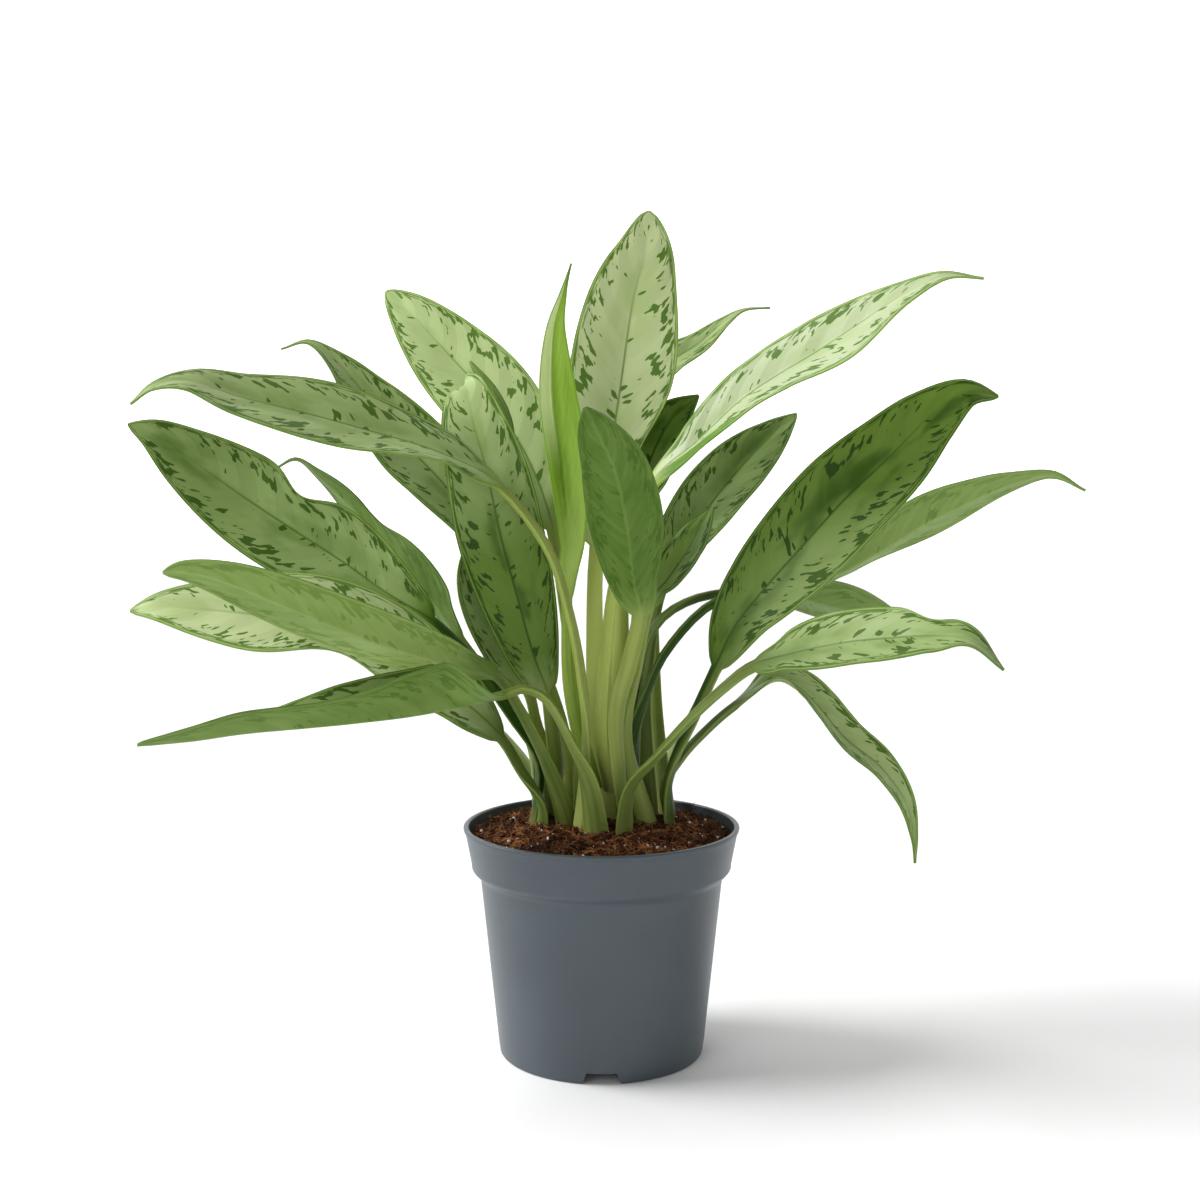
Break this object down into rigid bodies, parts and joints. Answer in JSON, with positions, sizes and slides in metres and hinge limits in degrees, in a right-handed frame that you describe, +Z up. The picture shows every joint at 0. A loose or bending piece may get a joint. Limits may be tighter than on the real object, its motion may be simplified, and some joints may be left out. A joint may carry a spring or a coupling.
{
  "type": "potted chinese evergreen",
  "caption": "Leafy houseplant with long silver-green blotched leaves on arching stalks, growing in coir in a round plastic nursery pot that stands on its foot ring.",
  "frame": {"origin": "on the ground, under the middle of the pot", "axes": "+Z up out of the pot, -Y towards the front of the plant, +X to the right seen from the front"},
  "size_m": [0.4324, 0.2092, 0.3722],
  "materials": {
    "pot": "satin grey plastic",
    "soil": "rough brown coir with white specks",
    "shoot": "smooth pale green stem",
    "leaf": "satin silver green with dark green blotches",
    "young_leaf": "satin bright green"
  },
  "bodies": {
    "root": {"pot": "pot", "soil": "soil", "shoot_centre": "shoot", "shoot_left": "shoot", "shoot_right": "shoot", "leaf_top": "leaf", "leaf_front": "leaf", "leaf_young": "young_leaf", "leaf_back_left": "leaf", "leaf_inner_left": "leaf", "leaf_left_upright": "leaf", "leaf_arch_left": "leaf", "leaf_mid_left": "leaf", "leaf_under_left": "leaf", "leaf_low_left": "leaf", "leaf_folded_left": "leaf", "leaf_curl_left": "leaf", "leaf_green_left": "leaf", "leaf_arch_right": "leaf", "leaf_tip_back": "leaf", "leaf_dark_back": "leaf", "leaf_mid_right": "leaf", "leaf_small_right": "leaf", "leaf_big_right": "leaf", "leaf_far_right": "leaf", "leaf_back_right": "leaf", "leaf_front_right": "leaf", "leaf_droop_right": "leaf", "leaf_rear": "leaf", "leaf_rear_left": "leaf", "leaf_rear_right": "leaf"}
  },
  "joints": []
}
